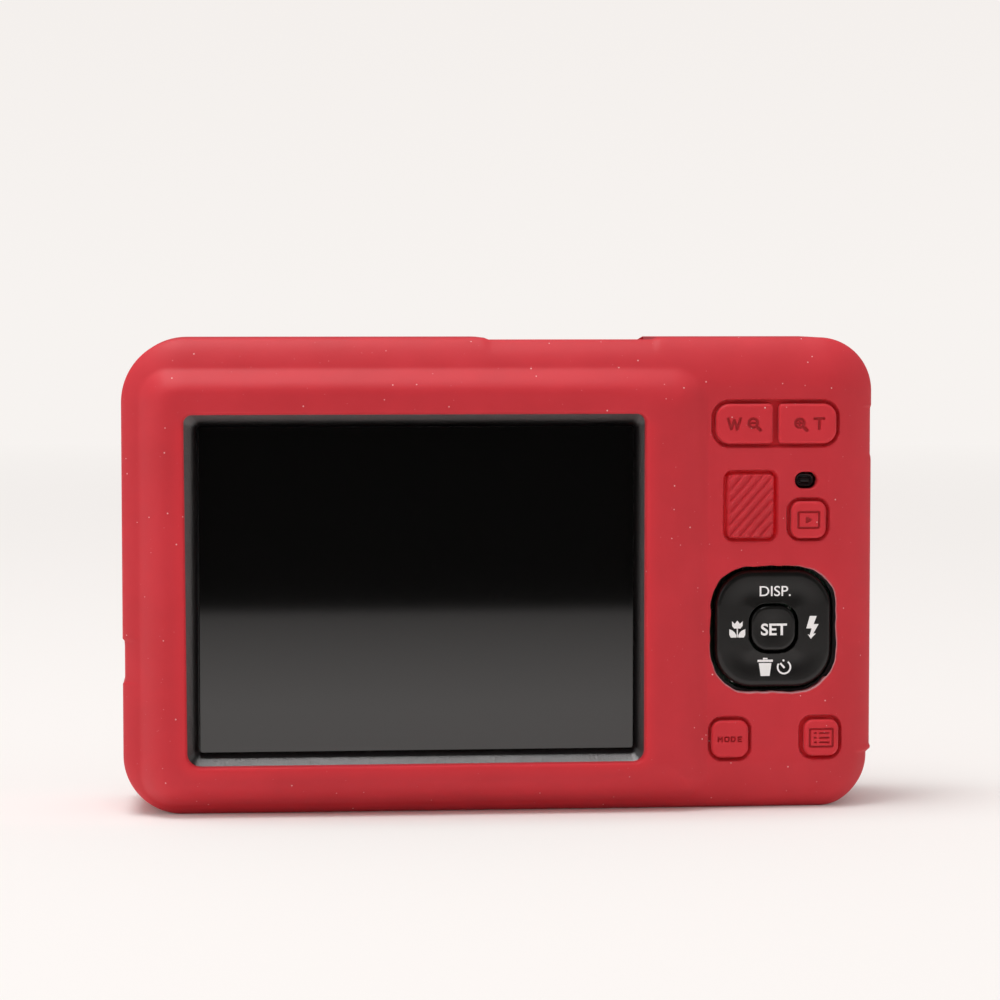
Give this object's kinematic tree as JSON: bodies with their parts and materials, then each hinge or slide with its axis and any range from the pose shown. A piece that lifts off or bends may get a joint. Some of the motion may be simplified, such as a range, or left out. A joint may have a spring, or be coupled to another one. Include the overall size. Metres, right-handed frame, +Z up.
{
  "type": "compact digital camera",
  "caption": "Pocket digital camera in a red silicone sleeve, with a rear screen, zoom keys, a four-way pad, a telescoping lens, a battery door and a port cover.",
  "frame": {"origin": "under the middle of the sleeve, on the surface that it stands on", "axes": "+X right as seen by someone looking at the screen, +Y the way the lens looks, +Z up"},
  "size_m": [0.0964, 0.0248, 0.0608],
  "materials": {
    "red_silicone": "matte soft silicone",
    "casing": "fine satin black",
    "top_plate": "satin dark grey",
    "bezel": "fine spark texture",
    "window": "gloss black",
    "display": "gloss",
    "keys": "satin black",
    "pad": "satin black with white prints",
    "light_pipe": "gloss",
    "button_metal": "satin",
    "steel": "plain",
    "board": "solder mask",
    "sensor": "coated",
    "component": "plain",
    "frosted": "frosted",
    "reflector": "bright",
    "amber": "clear",
    "lens_black": "fine matt",
    "satin_metal": "fine satin",
    "lens_glass": "coated",
    "gear_plastic": "moulded",
    "tray": "moulded",
    "battery_wrap": "plain wrap",
    "card": "moulded",
    "port_rubber": "matt",
    "eyelet": "satin"
  },
  "bodies": {
    "camera_body": {"silicone_sleeve": "red_silicone", "front_cover": "casing", "rear_cover": "casing", "top_plate": "top_plate", "chassis": "steel", "base_screw_left": "steel", "base_screw_right": "steel", "screen_bezel": "bezel", "screen_window": "window", "display_panel": "display", "status_light": "light_pipe", "top_board": "board", "shutter_spring": "steel", "main_board": "board", "sensor_board": "board", "image_sensor": "sensor", "flash_capacitor": "component", "speaker": "component", "flash_window": "frosted", "flash_reflector": "reflector", "focus_lamp_window": "amber", "lens_base": "lens_black", "front_lens_ring": "satin_metal", "zoom_motor": "steel", "battery_tray": "tray", "battery": "battery_wrap", "card_socket": "steel", "memory_card": "card", "hinge_pin": "steel", "data_socket": "steel", "tripod_socket": "steel", "strap_eyelet": "eyelet"},
    "shutter_button": {"shutter_button": "button_metal"},
    "power_button": {"power_button": "button_metal"},
    "zoom_rocker": {"zoom_rocker": "keys", "sleeve_key_wide": "red_silicone", "sleeve_key_tele": "red_silicone"},
    "playback_key": {"playback_button": "keys", "sleeve_key_play": "red_silicone"},
    "mode_key": {"mode_button": "keys", "sleeve_key_mode": "red_silicone"},
    "menu_key": {"menu_button": "keys", "sleeve_key_menu": "red_silicone"},
    "pad_carrier": {"pad_carrier": "keys"},
    "control_pad": {"control_pad": "pad"},
    "set_button": {"set_button": "pad"},
    "cam_ring": {"cam_ring": "lens_black"},
    "drive_gear": {"drive_gear": "gear_plastic"},
    "outer_barrel": {"outer_barrel": "satin_metal"},
    "inner_barrel": {"inner_barrel": "satin_metal", "front_lens": "lens_glass", "shutter_unit": "lens_black", "middle_lens": "lens_glass"},
    "upper_blade": {"upper_barrier_blade": "lens_black"},
    "lower_blade": {"lower_barrier_blade": "lens_black"},
    "focus_carriage": {"focus_carriage": "lens_black", "focus_lens": "lens_glass"},
    "battery_door": {"battery_door": "casing"},
    "door_latch": {"door_latch": "tray"},
    "port_cover": {"port_cover": "port_rubber"}
  },
  "joints": [
    {"name": "shutter_press", "type": "slide", "parent": "camera_body", "child": "shutter_button", "axis": [0, 0, -1], "range_m": [0, 0.0008], "stiffness_N_per_m": 300, "deforming": ["shutter_spring"]},
    {"name": "power_press", "type": "slide", "parent": "camera_body", "child": "power_button", "axis": [0, 0, -1], "range_m": [0, 0.0004], "stiffness_N_per_m": 300},
    {"name": "playback_press", "type": "slide", "parent": "camera_body", "child": "playback_key", "axis": [0, 1, 0], "range_m": [0, 0.00035], "stiffness_N_per_m": 400},
    {"name": "mode_press", "type": "slide", "parent": "camera_body", "child": "mode_key", "axis": [0, 1, 0], "range_m": [0, 0.00035], "stiffness_N_per_m": 400},
    {"name": "menu_press", "type": "slide", "parent": "camera_body", "child": "menu_key", "axis": [0, 1, 0], "range_m": [0, 0.00035], "stiffness_N_per_m": 400},
    {"name": "set_press", "type": "slide", "parent": "camera_body", "child": "set_button", "axis": [0, 1, 0], "range_m": [0, 0.00035], "stiffness_N_per_m": 400},
    {"name": "zoom_rock", "type": "hinge", "parent": "camera_body", "child": "zoom_rocker", "pos_m": [0.03522, -0.0067, 0.0498], "axis": [0, 0, 1], "range_deg": [-1.5, 1.5], "stiffness_Nm_per_rad": 0.02},
    {"name": "pad_tilt_up_down", "type": "hinge", "parent": "camera_body", "child": "pad_carrier", "pos_m": [0.0351, -0.0075, 0.0234], "axis": [1, 0, 0], "range_deg": [-2.5, 2.5], "stiffness_Nm_per_rad": 0.02},
    {"name": "pad_tilt_left_right", "type": "hinge", "parent": "pad_carrier", "child": "control_pad", "pos_m": [0.0351, -0.0075, 0.0234], "axis": [0, 0, 1], "range_deg": [-2.5, 2.5], "stiffness_Nm_per_rad": 0.02},
    {"name": "cam_ring_turn", "type": "hinge", "parent": "camera_body", "child": "cam_ring", "pos_m": [-0.014, 0, 0.0295], "axis": [0, 1, 0], "range_deg": [0, 100]},
    {"name": "drive_gear_turn", "type": "hinge", "parent": "camera_body", "child": "drive_gear", "pos_m": [-0.00275, 0, 0.01001], "axis": [0, 1, 0], "range_deg": [-350, 0]},
    {"name": "outer_barrel_slide", "type": "slide", "parent": "camera_body", "child": "outer_barrel", "axis": [0, 1, 0], "range_m": [0, 0.008]},
    {"name": "inner_barrel_slide", "type": "slide", "parent": "outer_barrel", "child": "inner_barrel", "axis": [0, 1, 0], "range_m": [0, 0.008]},
    {"name": "upper_blade_swing", "type": "hinge", "parent": "inner_barrel", "child": "upper_blade", "pos_m": [-0.0236, 0.0098, 0.0295], "axis": [0, -1, 0], "range_deg": [0, 30]},
    {"name": "lower_blade_swing", "type": "hinge", "parent": "inner_barrel", "child": "lower_blade", "pos_m": [-0.0044, 0.0098, 0.0295], "axis": [0, -1, 0], "range_deg": [0, 30]},
    {"name": "focus_slide", "type": "slide", "parent": "camera_body", "child": "focus_carriage", "axis": [0, 1, 0], "range_m": [0, 0.0012]},
    {"name": "battery_door_swing", "type": "hinge", "parent": "camera_body", "child": "battery_door", "pos_m": [0.0404, 0, 0.0034], "axis": [0, -1, 0], "range_deg": [0, 90]},
    {"name": "door_latch_slide", "type": "slide", "parent": "battery_door", "child": "door_latch", "axis": [1, 0, 0], "range_m": [0, 0.002]},
    {"name": "port_cover_swing", "type": "hinge", "parent": "camera_body", "child": "port_cover", "pos_m": [-0.0463, 0, 0.0175], "axis": [0, -1, 0], "range_deg": [0, 90]}
  ],
  "couplings": [
    {"joint": "cam_ring_turn", "follows": "outer_barrel_slide", "rad_per_m": 218.17},
    {"joint": "drive_gear_turn", "follows": "outer_barrel_slide", "rad_per_m": -763.58},
    {"joint": "inner_barrel_slide", "follows": "outer_barrel_slide", "ratio": 1},
    {"joint": "upper_blade_swing", "follows": "outer_barrel_slide", "rad_per_m": 65.45},
    {"joint": "lower_blade_swing", "follows": "outer_barrel_slide", "rad_per_m": 65.45}
  ]
}
